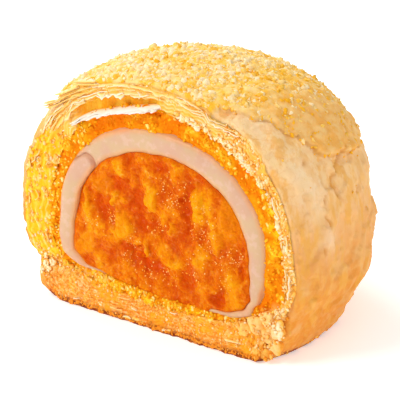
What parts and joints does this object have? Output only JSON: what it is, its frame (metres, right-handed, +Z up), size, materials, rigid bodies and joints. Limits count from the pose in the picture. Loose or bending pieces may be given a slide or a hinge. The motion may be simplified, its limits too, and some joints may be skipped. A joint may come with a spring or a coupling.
{
  "type": "cut flaky mochi custard pastry",
  "caption": "Round flaky pastry with a crumb topping, cut open to show floss filling, a mochi skin and an orange custard core.",
  "frame": {"origin": "on the whole pastry's axis, on its flat underside", "axes": "+Z up; the cut face looks along -Y; +X to the right of the cut face"},
  "size_m": [0.06, 0.0419, 0.0468],
  "materials": {
    "crust": "matte",
    "floss_filling": "matte",
    "mochi_skin": "satin",
    "custard_core": "moist"
  },
  "bodies": {
    "root": {"crust": "crust", "floss_filling": "floss_filling", "mochi_skin": "mochi_skin", "custard_core": "custard_core"}
  },
  "joints": []
}
